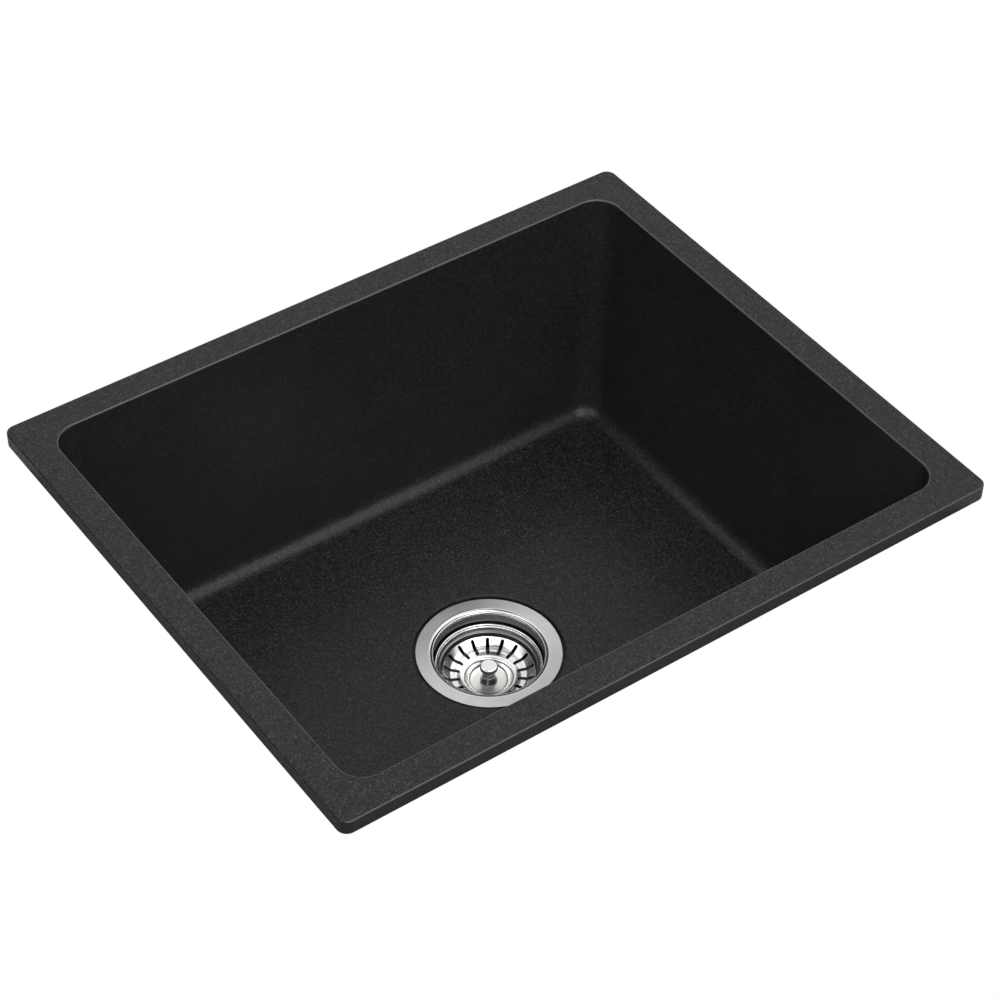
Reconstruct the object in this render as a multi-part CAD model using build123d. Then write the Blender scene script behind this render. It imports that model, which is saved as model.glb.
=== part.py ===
"""Granite composite kitchen sink with a stainless basket strainer.

The origin is the centre of the rim, on the plane of its underside, which rests on the worktop.
+X runs along the long side, +Y towards the back and +Z up. Lengths are in millimetres.
"""

from build123d import *
import math
import os

# Rim of the sink
RIM_LENGTH = 550.0
RIM_DEPTH = 450.0
RIM_THICKNESS = 12.0
RIM_WIDTH = 24.0
RIM_CORNER_RADIUS = 8.0
RIM_EDGE_RADIUS = 1.2
RIM_LOWER_EDGE_RADIUS = 0.6
LIP_RADIUS = 1.6

# Bowl
BOWL_DEPTH = 202.5
BOWL_DRAFT = 5.9
BOWL_CORNER_RADIUS = 20.0
BOWL_FOOT_RADIUS = 13.0
BOWL_WALL = 9.0
BOWL_FLOOR = 10.0
NECK_FILLET_RADIUS = 4.0
FLOOR_FALL = 1.5
FLOOR_FALL_MARGIN = 6.0

# Drain hole in the floor, and the pad under it
DRAIN_HOLE_CLEARANCE = 0.6
FLANGE_RECESS = 1.3
FLANGE_GAP = 1.6
DRAIN_EDGE_RADIUS = 1.4
DRAIN_SEAT = 10.0
DRAIN_PAD_MARGIN = 9.0
DRAIN_PAD_RADIUS = 3.0

# Strainer body, drawn from stainless sheet
FLANGE_RADIUS = 57.0
FLANGE_WIDTH = 13.6
FLANGE_EDGE_RADIUS = 0.5
CUP_SHEET = 1.0
CUP_LIP_RADIUS = 3.1
CUP_WALL_DEPTH = 41.0
CUP_SHOULDER_RADIUS = 7.0
OUTLET_SEAT_DEPTH = 47.5
OUTLET_SEAT_WIDTH = 6.5
OUTLET_RADIUS = 22.0
OUTLET_LIP_RADIUS = 2.0
OUTLET_NECK_LENGTH = 24.5

# Rings that seal and clamp the strainer
FLANGE_GASKET_THICKNESS = 1.5
FLANGE_GASKET_INSET = 1.0
UNDER_GASKET_THICKNESS = 3.0
FRICTION_WASHER_THICKNESS = 1.0
RING_BORE_CLEARANCE = 0.8
THREAD_CLEARANCE = 0.1
LOCK_NUT_HEIGHT = 12.0
LOCK_NUT_WALL = 9.0
LOCK_NUT_LUGS = 8
LOCK_NUT_LUG_WIDTH = 9.0
LOCK_NUT_LUG_REACH = 4.0
LOCK_NUT_EDGE = 0.8

# Cross and bush in the outlet neck
CROSS_DROP = 11.0
CROSS_THICKNESS = 1.5
CROSS_ARMS = 4
CROSS_ARM_WIDTH = 4.0
CROSS_HUB_RADIUS = 9.0
CROSS_FIT = 0.05
BUSH_WALL = 1.8
BUSH_LENGTH = 5.0
BUSH_FLANGE = 1.2
BUSH_FLANGE_THICKNESS = 1.0
STEM_GUIDE_CLEARANCE = 0.3

# Tailpiece and its coupling nut
TAIL_RADIUS = 19.05
TAIL_WALL = 1.2
TAIL_LENGTH = 70.0
TAIL_FLANGE_THICKNESS = 1.5
TAIL_FLANGE_CLEARANCE = 0.3
TAIL_WASHER_THICKNESS = 2.0
COUPLING_WALL = 5.0
COUPLING_GRIP = 11.0
COUPLING_LIP = 3.0
COUPLING_BORE_CLEARANCE = 0.8
COUPLING_RIBS = 12
COUPLING_RIB_RADIUS = 1.6
COUPLING_EDGE = 0.8

# Basket, stamped from stainless sheet; widths run inwards and depths are below the flange's top
BASKET_SHEET = 0.8
BASKET_CLEARANCE = 1.6
BASKET_RIM_DEPTH = 14.0
BASKET_RIM_WIDTH = 1.9
BASKET_RIM_HEIGHT = 2.6
BASKET_RIM_BEND = 0.9
COLLAR_WIDTH = 2.6
COLLAR_FOOT_DEPTH = 17.4
LEDGE_WIDTH = 1.7
LEDGE_DEPTH = 17.8
STEP_WIDTH = 0.9
SLOT_TOP_DEPTH = 21.0
SLOT_WALL_WIDTH = 5.7
SLOT_KNEE_DEPTH = 25.2
SLOT_FLOOR_WIDTH = 9.6
PLATE_WIDTH = 2.9
PLATE_DEPTH = 28.0
DISH_WALL_WIDTH = 2.8
DISH_DEPTH = 33.0
COLLAR_BEND = 1.1
SLOT_KNEE_BEND = 12.0
PLATE_BEND = 7.0
DISH_SHOULDER_BEND = 2.8
DISH_FLOOR_BEND = 4.5

# Slots round the basket
SLOT_COUNT = 18
SLOT_WIDTH = 3.0
SLOT_INNER_MARGIN = 1.2
SLOT_OUTER_MARGIN = 0.9
SLOT_START_ANGLE = 16.6

# Knob, from the dish floor up
KNOB_BASE_RADIUS = 6.8
KNOB_BASE_EDGE = 1.4
KNOB_WAIST_RADIUS = 3.7
KNOB_WAIST_HEIGHT = 4.6
KNOB_BARREL_RADIUS = 5.0
KNOB_BARREL_BOTTOM = 6.2
KNOB_BARREL_TOP = 11.6
KNOB_GROOVE_DEPTH = 0.8
KNOB_GROOVE_WIDTH = 1.6
KNOB_NECK_RADIUS = 4.2
KNOB_CAP_RADIUS = 7.0
KNOB_CAP_BOTTOM = 13.6
KNOB_CAP_EDGE = 1.2
KNOB_HEIGHT = 18.0
KNOB_BEND = 0.7
KNOB_GROOVE_BEND = 0.4
KNOB_SOCKET_DEPTH = 9.0

# Stem and the stopper stack on it
STEM_RADIUS = 3.0
STEM_TAIL = 8.0
STEM_TIP_CHAMFER = 1.0
STEM_CLEARANCE = 0.05
STEM_TOP_GAP = 0.5
SPACER_WALL = 2.6
SEAL_PLATE_RADIUS = 19.0
SEAL_PLATE_THICKNESS = 1.0
SEAL_THICKNESS = 5.0
SEAL_LIP_THICKNESS = 2.6
SEAL_SEAT_OVERLAP = 4.5
CLAMP_WASHER_RADIUS = 11.0
CLAMP_WASHER_THICKNESS = 1.2
STEM_NUT_ACROSS_FLATS = 10.0
STEM_NUT_HEIGHT = 5.0

# Heights worked out from the sizes above
RIM_TOP_Z = RIM_THICKNESS
FLOOR_Z = RIM_TOP_Z - BOWL_DEPTH
DRAIN_Z = FLOOR_Z - FLOOR_FALL
FLANGE_Z = DRAIN_Z - FLANGE_RECESS
FLANGE_UNDER_Z = FLANGE_Z - CUP_SHEET
DRAIN_SEAT_Z = FLANGE_UNDER_Z - FLANGE_GASKET_THICKNESS
PAD_Z = DRAIN_SEAT_Z - DRAIN_SEAT
BASE_Z = FLOOR_Z - BOWL_FLOOR
UNDER_GASKET_Z = PAD_Z - UNDER_GASKET_THICKNESS
LOCK_NUT_Z = UNDER_GASKET_Z - FRICTION_WASHER_THICKNESS
OUTLET_SEAT_Z = FLANGE_Z - OUTLET_SEAT_DEPTH
NECK_END_Z = OUTLET_SEAT_Z - OUTLET_NECK_LENGTH
CROSS_Z = OUTLET_SEAT_Z - CROSS_DROP
TAIL_TOP_Z = NECK_END_Z - TAIL_WASHER_THICKNESS
COUPLING_SEAT_Z = TAIL_TOP_Z - TAIL_FLANGE_THICKNESS
TAIL_END_Z = TAIL_TOP_Z - TAIL_LENGTH
DISH_Z = FLANGE_Z - DISH_DEPTH
DISH_UNDER_Z = DISH_Z - BASKET_SHEET
SEAL_TOP_Z = OUTLET_SEAT_Z + SEAL_THICKNESS
SEAL_PLATE_Z = SEAL_TOP_Z + SEAL_PLATE_THICKNESS
STEM_NUT_Z = OUTLET_SEAT_Z - CLAMP_WASHER_THICKNESS
STEM_TOP_Z = DISH_Z + KNOB_SOCKET_DEPTH - STEM_TOP_GAP
STEM_END_Z = CROSS_Z - STEM_TAIL

# Radii and widths worked out from the sizes above
CUP_RADIUS = FLANGE_RADIUS - FLANGE_WIDTH
CUP_OUTER_RADIUS = CUP_RADIUS + CUP_SHEET
NECK_RADIUS = OUTLET_RADIUS + CUP_SHEET
DRAIN_HOLE_RADIUS = CUP_OUTER_RADIUS + DRAIN_HOLE_CLEARANCE
RECESS_RADIUS = FLANGE_RADIUS + FLANGE_GAP
PAD_RADIUS = FLANGE_RADIUS + DRAIN_PAD_MARGIN
RING_BORE = CUP_OUTER_RADIUS + RING_BORE_CLEARANCE
LOCK_NUT_RADIUS = CUP_OUTER_RADIUS + LOCK_NUT_WALL
TAIL_BORE = TAIL_RADIUS - TAIL_WALL
TAIL_FLANGE_RADIUS = NECK_RADIUS - TAIL_FLANGE_CLEARANCE
BASKET_RIM_RADIUS = CUP_RADIUS - BASKET_CLEARANCE
COLLAR_FOOT_RADIUS = BASKET_RIM_RADIUS - COLLAR_WIDTH
LEDGE_RADIUS = COLLAR_FOOT_RADIUS - LEDGE_WIDTH
SLOT_TOP_RADIUS = LEDGE_RADIUS - STEP_WIDTH
SLOT_KNEE_RADIUS = SLOT_TOP_RADIUS - SLOT_WALL_WIDTH
PLATE_RADIUS = SLOT_KNEE_RADIUS - SLOT_FLOOR_WIDTH
DISH_RADIUS = PLATE_RADIUS - PLATE_WIDTH
DISH_FLOOR_RADIUS = DISH_RADIUS - DISH_WALL_WIDTH
STEM_BORE = STEM_RADIUS + STEM_CLEARANCE
BUSH_RADIUS = STEM_RADIUS + STEM_GUIDE_CLEARANCE + BUSH_WALL
DRAFT_SLOPE = math.tan(math.radians(BOWL_DRAFT))
WALL_OFFSET = BOWL_WALL / math.cos(math.radians(BOWL_DRAFT))


def drafted_block(length, depth, top, bottom, corner_radius, foot_radius):
    """Block whose four sides lean in at the bowl's draft, with rounded corners and a rounded foot."""
    block = extrude(Pos(0, 0, top) * Rectangle(length, depth), bottom - top, taper=BOWL_DRAFT)
    corners = block.edges().filter_by(lambda edge: abs(edge.tangent_at(0.5).Z) > 0.5)
    block = fillet(corners, corner_radius)
    return fillet(block.faces().sort_by(Axis.Z)[0].edges(), foot_radius)


def ring(inner, outer, top, height):
    """Flat ring about the drain's axis, hung down from its top face."""
    return extrude(Pos(0, 0, top) * (Circle(outer) - Circle(inner)), -height)


def turned(points, radii):
    """Solid turned about the drain's axis from a closed outline of (radius, height) points."""
    outline = FilletPolyline(*points, radius=radii, close=True)
    return revolve(Plane.XZ * make_face(outline), Axis.Z)


def bent_sheet(points, radii, thickness):
    """Sheet turned about the drain's axis; the points run inwards along its upper side."""
    path = FilletPolyline(*points, radius=radii)
    outline = path.offset_2d(thickness, side=Side.LEFT)
    return revolve(Plane.XZ * make_face(outline), Axis.Z)


def make_sink_bowl():
    """Rim, drafted walls, floor and drain seat as one moulding."""
    opening_length = RIM_LENGTH - 2 * RIM_WIDTH
    opening_depth = RIM_DEPTH - 2 * RIM_WIDTH
    outer_length = opening_length + 2 * (WALL_OFFSET - RIM_THICKNESS * DRAFT_SLOPE)
    outer_depth = opening_depth + 2 * (WALL_OFFSET - RIM_THICKNESS * DRAFT_SLOPE)

    rim = extrude(RectangleRounded(RIM_LENGTH, RIM_DEPTH, RIM_CORNER_RADIUS), RIM_THICKNESS)
    shell = drafted_block(
        outer_length,
        outer_depth,
        0,
        BASE_Z,
        BOWL_CORNER_RADIUS + BOWL_WALL,
        BOWL_FOOT_RADIUS + BOWL_WALL,
    )
    pad = extrude(Pos(0, 0, PAD_Z) * Circle(PAD_RADIUS), BASE_Z - PAD_Z)
    body = rim + shell
    neck = body.edges().filter_by_position(Axis.Z, 0, 0).filter_by(
        lambda edge: edge.bounding_box().max.X < outer_length / 2 + 1
        and edge.bounding_box().min.X > -outer_length / 2 - 1
        and edge.bounding_box().max.Y < outer_depth / 2 + 1
        and edge.bounding_box().min.Y > -outer_depth / 2 - 1
    )
    body = fillet(neck, NECK_FILLET_RADIUS)
    body = body + pad
    pad_foot = body.edges().filter_by(GeomType.CIRCLE).filter_by_position(Axis.Z, BASE_Z, BASE_Z)
    body = fillet(pad_foot, DRAIN_PAD_RADIUS)

    cavity = drafted_block(
        opening_length,
        opening_depth,
        RIM_TOP_Z,
        FLOOR_Z,
        BOWL_CORNER_RADIUS,
        BOWL_FOOT_RADIUS,
    )
    body = body - cavity - make_drain_cut(opening_depth)
    body = fillet(body.faces().sort_by(Axis.Z)[-1].inner_wires()[0].edges(), LIP_RADIUS)
    body = fillet(body.faces().sort_by(Axis.Z)[-1].outer_wire().edges(), RIM_EDGE_RADIUS)
    seat = body.faces().filter_by(Plane.XY).filter_by_position(Axis.Z, 0, 0)[0]
    return fillet(seat.outer_wire().edges(), RIM_LOWER_EDGE_RADIUS)


def make_drain_cut(opening_depth):
    """Everything taken out of the floor round the drain: its fall, the flange recess and the hole."""
    floor_half_depth = opening_depth / 2 - BOWL_DEPTH * DRAFT_SLOPE
    fall_radius = floor_half_depth - BOWL_FOOT_RADIUS - FLOOR_FALL_MARGIN
    outline = [
        (0, FLOOR_Z + FLOOR_FALL),
        (fall_radius, FLOOR_Z + FLOOR_FALL),
        (fall_radius, FLOOR_Z),
        (RECESS_RADIUS, DRAIN_Z),
        (RECESS_RADIUS, DRAIN_SEAT_Z),
        (DRAIN_HOLE_RADIUS, DRAIN_SEAT_Z),
        (DRAIN_HOLE_RADIUS, PAD_Z - DRAIN_SEAT),
        (0, PAD_Z - DRAIN_SEAT),
    ]
    return turned(outline, [0, 0, 0, DRAIN_EDGE_RADIUS, 0, 0, 0, 0])


def make_strainer_body():
    """Flange, cup and outlet neck drawn from one sheet."""
    path = [
        (FLANGE_RADIUS, FLANGE_Z),
        (CUP_RADIUS, FLANGE_Z),
        (CUP_RADIUS, FLANGE_Z - CUP_WALL_DEPTH),
        (OUTLET_RADIUS + OUTLET_SEAT_WIDTH, OUTLET_SEAT_Z),
        (OUTLET_RADIUS, OUTLET_SEAT_Z),
        (OUTLET_RADIUS, NECK_END_Z),
    ]
    radii = [CUP_LIP_RADIUS, CUP_SHOULDER_RADIUS, CUP_SHEET, OUTLET_LIP_RADIUS]
    body = bent_sheet(path, radii, CUP_SHEET)
    flange_edges = body.edges().filter_by(GeomType.CIRCLE).filter_by_position(Axis.Z, FLANGE_Z, FLANGE_Z)
    return fillet(flange_edges.sort_by(SortBy.RADIUS)[-1], FLANGE_EDGE_RADIUS)


def make_flange_gasket():
    """Soft ring under the flat of the flange."""
    inner = CUP_RADIUS + CUP_LIP_RADIUS + FLANGE_GASKET_INSET
    return ring(inner, FLANGE_RADIUS - FLANGE_GASKET_INSET, FLANGE_UNDER_Z, FLANGE_GASKET_THICKNESS)


def make_under_gasket():
    """Rubber ring against the drain pad."""
    return ring(RING_BORE, LOCK_NUT_RADIUS, PAD_Z, UNDER_GASKET_THICKNESS)


def make_friction_washer():
    """Fibre ring between the rubber and the nut."""
    return ring(RING_BORE, LOCK_NUT_RADIUS, UNDER_GASKET_Z, FRICTION_WASHER_THICKNESS)


def make_lock_nut():
    """Ring nut on the cup, with lugs for a spanner."""
    nut = ring(CUP_OUTER_RADIUS + THREAD_CLEARANCE, LOCK_NUT_RADIUS, LOCK_NUT_Z, LOCK_NUT_HEIGHT)
    lug_length = LOCK_NUT_WALL / 2 + LOCK_NUT_LUG_REACH
    lug_centre = LOCK_NUT_RADIUS + LOCK_NUT_LUG_REACH - lug_length / 2
    lug = Rectangle(lug_length, LOCK_NUT_LUG_WIDTH)
    lugs = Sketch() + [place * lug for place in PolarLocations(lug_centre, LOCK_NUT_LUGS)]
    nut = nut + extrude(Pos(0, 0, LOCK_NUT_Z) * lugs, -LOCK_NUT_HEIGHT)
    return chamfer(nut.faces().sort_by(Axis.Z)[0].outer_wire().edges(), LOCK_NUT_EDGE)


def make_outlet_cross():
    """Stamped cross in the neck, with a hole for the bush."""
    arm_length = OUTLET_RADIUS - BUSH_RADIUS
    arm_centre = OUTLET_RADIUS - arm_length / 2
    arm = Rectangle(arm_length, CROSS_ARM_WIDTH)
    arms = Sketch() + [place * arm for place in PolarLocations(arm_centre, CROSS_ARMS)]
    outline = (arms + Circle(CROSS_HUB_RADIUS)) & Circle(OUTLET_RADIUS - CROSS_FIT)
    outline = outline - Circle(BUSH_RADIUS + CROSS_FIT)
    return extrude(Pos(0, 0, CROSS_Z) * outline, -CROSS_THICKNESS)


def make_stem_bush():
    """Flanged bush that guides the stem in the cross."""
    bore = STEM_RADIUS + STEM_GUIDE_CLEARANCE
    outline = [
        (bore, CROSS_Z + BUSH_FLANGE_THICKNESS),
        (BUSH_RADIUS + BUSH_FLANGE, CROSS_Z + BUSH_FLANGE_THICKNESS),
        (BUSH_RADIUS + BUSH_FLANGE, CROSS_Z),
        (BUSH_RADIUS, CROSS_Z),
        (BUSH_RADIUS, CROSS_Z - BUSH_LENGTH),
        (bore, CROSS_Z - BUSH_LENGTH),
    ]
    return turned(outline, 0)


def make_tailpiece_washer():
    """Flat seal between the neck and the tailpiece."""
    return ring(TAIL_BORE, TAIL_FLANGE_RADIUS, NECK_END_Z, TAIL_WASHER_THICKNESS)


def make_tailpiece():
    """Waste tube with a flange at its top."""
    flange = ring(TAIL_BORE, TAIL_FLANGE_RADIUS, TAIL_TOP_Z, TAIL_FLANGE_THICKNESS)
    return flange + ring(TAIL_BORE, TAIL_RADIUS, TAIL_TOP_Z, TAIL_LENGTH)


def make_coupling_nut():
    """Ribbed slip nut that draws the tailpiece's flange up to the neck."""
    top = NECK_END_Z + COUPLING_GRIP
    bottom = COUPLING_SEAT_Z - COUPLING_LIP
    thread = NECK_RADIUS + THREAD_CLEARANCE
    lip = TAIL_RADIUS + COUPLING_BORE_CLEARANCE
    outer = NECK_RADIUS + COUPLING_WALL
    outline = [
        (thread, top),
        (outer, top),
        (outer, bottom),
        (lip, bottom),
        (lip, COUPLING_SEAT_Z),
        (thread, COUPLING_SEAT_Z),
    ]
    nut = turned(outline, [0, COUPLING_EDGE, COUPLING_EDGE, 0, 0, 0])
    ribs = Sketch() + [place * Circle(COUPLING_RIB_RADIUS) for place in PolarLocations(outer, COUPLING_RIBS)]
    ribs = extrude(Pos(0, 0, top - COUPLING_EDGE) * ribs, bottom - top + 2 * COUPLING_EDGE)
    bore = extrude(Pos(0, 0, top) * Circle(thread), bottom - top)
    return nut + (ribs - bore)


def make_basket_shell():
    """Stamped basket: rolled rim, collar, ledge, slotted bowl and a dish for the knob."""
    path = [
        (BASKET_RIM_RADIUS, FLANGE_Z - BASKET_RIM_DEPTH - BASKET_RIM_HEIGHT),
        (BASKET_RIM_RADIUS, FLANGE_Z - BASKET_RIM_DEPTH),
        (BASKET_RIM_RADIUS - BASKET_RIM_WIDTH, FLANGE_Z - BASKET_RIM_DEPTH),
        (COLLAR_FOOT_RADIUS, FLANGE_Z - COLLAR_FOOT_DEPTH),
        (LEDGE_RADIUS, FLANGE_Z - LEDGE_DEPTH),
        (SLOT_TOP_RADIUS, FLANGE_Z - SLOT_TOP_DEPTH),
        (SLOT_KNEE_RADIUS, FLANGE_Z - SLOT_KNEE_DEPTH),
        (PLATE_RADIUS, FLANGE_Z - PLATE_DEPTH),
        (DISH_RADIUS, FLANGE_Z - PLATE_DEPTH),
        (DISH_FLOOR_RADIUS, DISH_Z),
        (STEM_BORE, DISH_Z),
    ]
    radii = [
        BASKET_RIM_BEND,
        BASKET_RIM_BEND,
        COLLAR_BEND,
        COLLAR_BEND,
        COLLAR_BEND,
        SLOT_KNEE_BEND,
        PLATE_BEND,
        DISH_SHOULDER_BEND,
        DISH_FLOOR_BEND,
    ]
    shell = bent_sheet(path, radii, BASKET_SHEET)
    slot_inner = PLATE_RADIUS + SLOT_INNER_MARGIN
    slot_outer = SLOT_TOP_RADIUS - SLOT_OUTER_MARGIN
    slot = SlotOverall(slot_outer - slot_inner, SLOT_WIDTH)
    places = PolarLocations((slot_inner + slot_outer) / 2, SLOT_COUNT, SLOT_START_ANGLE)
    slots = Sketch() + [place * slot for place in places]
    return shell - extrude(Pos(0, 0, DISH_Z) * slots, DISH_DEPTH - BASKET_RIM_DEPTH)


def make_knob():
    """Turned lifting knob: base, waist, grooved barrel and mushroom cap, bored for the stem."""
    groove_z = DISH_Z + (KNOB_BARREL_BOTTOM + KNOB_BARREL_TOP) / 2
    outline = [
        (STEM_BORE, DISH_Z),
        (KNOB_BASE_RADIUS, DISH_Z),
        (KNOB_BASE_RADIUS, DISH_Z + KNOB_BASE_EDGE),
        (KNOB_WAIST_RADIUS, DISH_Z + KNOB_WAIST_HEIGHT),
        (KNOB_BARREL_RADIUS, DISH_Z + KNOB_BARREL_BOTTOM),
        (KNOB_BARREL_RADIUS, groove_z - KNOB_GROOVE_WIDTH / 2),
        (KNOB_BARREL_RADIUS - KNOB_GROOVE_DEPTH, groove_z),
        (KNOB_BARREL_RADIUS, groove_z + KNOB_GROOVE_WIDTH / 2),
        (KNOB_BARREL_RADIUS, DISH_Z + KNOB_BARREL_TOP),
        (KNOB_NECK_RADIUS, DISH_Z + KNOB_CAP_BOTTOM),
        (KNOB_CAP_RADIUS, DISH_Z + KNOB_CAP_BOTTOM),
        (KNOB_CAP_RADIUS, DISH_Z + KNOB_HEIGHT),
        (0, DISH_Z + KNOB_HEIGHT),
        (0, DISH_Z + KNOB_SOCKET_DEPTH),
        (STEM_BORE, DISH_Z + KNOB_SOCKET_DEPTH),
    ]
    groove_bends = [KNOB_GROOVE_BEND, KNOB_GROOVE_BEND, KNOB_GROOVE_BEND]
    lower_bends = [0, 0, KNOB_BEND, KNOB_BEND, KNOB_BEND]
    upper_bends = [KNOB_BEND, 0, KNOB_CAP_EDGE, KNOB_CAP_EDGE, 0, 0, 0]
    return turned(outline, lower_bends + groove_bends + upper_bends)


def make_stem():
    """Threaded rod from the knob's socket to below the bush."""
    rod = extrude(Pos(0, 0, STEM_END_Z) * Circle(STEM_RADIUS), STEM_TOP_Z - STEM_END_Z)
    return chamfer(rod.faces().sort_by(Axis.Z)[0].edges(), STEM_TIP_CHAMFER)


def make_spacer_sleeve():
    """Sleeve that holds the stopper below the dish."""
    return ring(STEM_BORE, STEM_BORE + SPACER_WALL, DISH_UNDER_Z, DISH_UNDER_Z - SEAL_PLATE_Z)


def make_seal_plate():
    """Disc that backs the rubber."""
    return ring(STEM_BORE, SEAL_PLATE_RADIUS, SEAL_PLATE_Z, SEAL_PLATE_THICKNESS)


def make_stopper_seal():
    """Rubber disc with a thinner lip that lies on the outlet seat."""
    outer = OUTLET_RADIUS + SEAL_SEAT_OVERLAP
    outline = [
        (STEM_BORE, OUTLET_SEAT_Z),
        (outer, OUTLET_SEAT_Z),
        (outer, OUTLET_SEAT_Z + SEAL_LIP_THICKNESS),
        (SEAL_PLATE_RADIUS, SEAL_TOP_Z),
        (STEM_BORE, SEAL_TOP_Z),
    ]
    return turned(outline, 0)


def make_clamp_washer():
    """Washer under the rubber."""
    return ring(STEM_BORE, CLAMP_WASHER_RADIUS, OUTLET_SEAT_Z, CLAMP_WASHER_THICKNESS)


def make_stem_nut():
    """Hexagon nut that clamps the stopper stack."""
    hexagon = RegularPolygon(STEM_NUT_ACROSS_FLATS / 2, 6, major_radius=False)
    blank = extrude(Pos(0, 0, STEM_NUT_Z) * hexagon, -STEM_NUT_HEIGHT)
    return blank - extrude(Pos(0, 0, STEM_NUT_Z) * Circle(STEM_BORE), -STEM_NUT_HEIGHT)


NODES = {
    "sink_bowl": make_sink_bowl,
    "strainer_body": make_strainer_body,
    "flange_gasket": make_flange_gasket,
    "under_gasket": make_under_gasket,
    "friction_washer": make_friction_washer,
    "lock_nut": make_lock_nut,
    "outlet_cross": make_outlet_cross,
    "stem_bush": make_stem_bush,
    "tailpiece_washer": make_tailpiece_washer,
    "tailpiece": make_tailpiece,
    "coupling_nut": make_coupling_nut,
    "basket_shell": make_basket_shell,
    "knob": make_knob,
    "stem": make_stem,
    "spacer_sleeve": make_spacer_sleeve,
    "seal_plate": make_seal_plate,
    "stopper_seal": make_stopper_seal,
    "clamp_washer": make_clamp_washer,
    "stem_nut": make_stem_nut,
}

os.makedirs("parts", exist_ok=True)
for name, make in NODES.items():
    export_step(make(), f"parts/{name}.step")
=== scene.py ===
"""Dressed scene of a granite composite kitchen sink with a stainless basket strainer.

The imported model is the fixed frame, in metres. Its origin is the centre of the rim on the plane of the rim's
underside, +X runs along the long side, +Y towards the back and +Z up. Each class below is one sub-assembly, one
finish or one part of the stage. Sizes inside the classes are in millimetres unless a name says otherwise.
"""

import logging
import math
from abc import ABC, abstractmethod
from dataclasses import dataclass
from enum import Enum
from typing import Any

import bmesh
import bpy
from mathutils import Matrix, Vector


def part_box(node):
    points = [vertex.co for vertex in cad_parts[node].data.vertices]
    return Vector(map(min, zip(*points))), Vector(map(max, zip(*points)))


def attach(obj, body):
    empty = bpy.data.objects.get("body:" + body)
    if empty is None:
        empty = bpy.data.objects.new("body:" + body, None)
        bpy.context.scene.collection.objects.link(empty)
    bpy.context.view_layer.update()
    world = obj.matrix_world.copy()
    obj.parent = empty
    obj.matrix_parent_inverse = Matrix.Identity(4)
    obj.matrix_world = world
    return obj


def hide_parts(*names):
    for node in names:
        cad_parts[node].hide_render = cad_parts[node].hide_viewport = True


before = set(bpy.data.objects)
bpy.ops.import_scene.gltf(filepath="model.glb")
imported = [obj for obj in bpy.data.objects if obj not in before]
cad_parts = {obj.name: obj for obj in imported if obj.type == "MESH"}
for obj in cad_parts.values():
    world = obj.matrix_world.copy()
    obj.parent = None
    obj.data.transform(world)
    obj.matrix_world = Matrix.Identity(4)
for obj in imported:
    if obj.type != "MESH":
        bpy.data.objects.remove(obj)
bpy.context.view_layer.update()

Tree = bpy.types.NodeTree
Node = bpy.types.Node
Socket = bpy.types.NodeSocket
Colour = tuple[float, float, float, float]

MM = 0.001
ORIGIN = (0.0, 0.0, 0.0)
UP = (0.0, 0.0, 1.0)
DOWN = (0.0, 0.0, -1.0)
WHITE = "#FFFFFF"
# Points of a mesh that lie closer than this, in metres, count as one
MERGE_DISTANCE = 1e-6
# A colour Mix node shares socket names with its other data types, so its sockets go by number
MIX_A, MIX_B, MIX_RESULT = 6, 7, 2
# Noise seldom leaves this range, so it is stretched from here
NOISE_LOW, NOISE_HIGH = 0.3, 0.7

logging.basicConfig(level=logging.INFO, format="%(message)s")
log = logging.getLogger("sink")


class Body(Enum):
    """The bodies that pieces ride on."""

    SINK = "sink"
    BASKET = "basket"


class Slot(Enum):
    """The record's material slots."""

    GRANITE = "granite_composite"
    SATIN_STEEL = "satin_steel"
    POLISHED_STEEL = "polished_steel"
    CHROME = "polished_chrome"
    ZINC = "cast_zinc"
    RUBBER = "black_rubber"
    FIBRE = "fibre_board"
    NYLON = "white_nylon"


def linear(hex_colour: str) -> Colour:
    """Turn an sRGB hex colour into linear RGBA.

    Args:
        hex_colour: Six hex digits after a hash sign.

    Returns:
        Linear red, green and blue, with an alpha of 1.
    """
    channels = [int(hex_colour[i : i + 2], 16) / 255 for i in (1, 3, 5)]
    red, green, blue = [c / 12.92 if c <= 0.04045 else ((c + 0.055) / 1.055) ** 2.4 for c in channels]
    return red, green, blue, 1.0


def per_mm(size: float) -> float:
    """Texture scale that repeats a pattern every size millimetres."""
    return 1.0 / (size * MM)


def add_node(tree: Tree, kind: str, inputs: dict[Any, Any] | None = None, **settings: Any) -> Node:
    """Add a node with its settings, and set or link its inputs.

    Args:
        tree: The node tree that takes the node.
        kind: The node's type, without the ShaderNode prefix.
        inputs: Values or output sockets by input name or index.
        settings: Properties of the node.

    Returns:
        The new node.
    """
    node = tree.nodes.new("ShaderNode" + kind)
    for name, value in settings.items():
        setattr(node, name, value)
    for key, value in (inputs or {}).items():
        if isinstance(value, Socket):
            tree.links.new(value, node.inputs[key])
        else:
            node.inputs[key].default_value = value
    return node


def all_of(tree: Tree, *tests: Node) -> Socket:
    """Join tests into one.

    Args:
        tree: The node tree of the tests.
        tests: Nodes whose value is 1 where they hold and 0 elsewhere.

    Returns:
        A socket that is 1 where every test holds.
    """
    joined = tests[0].outputs["Value"]
    for test in tests[1:]:
        product = add_node(tree, "Math", {0: joined, 1: test.outputs["Value"]}, operation="MULTIPLY")
        joined = product.outputs["Value"]
    return joined


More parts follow.
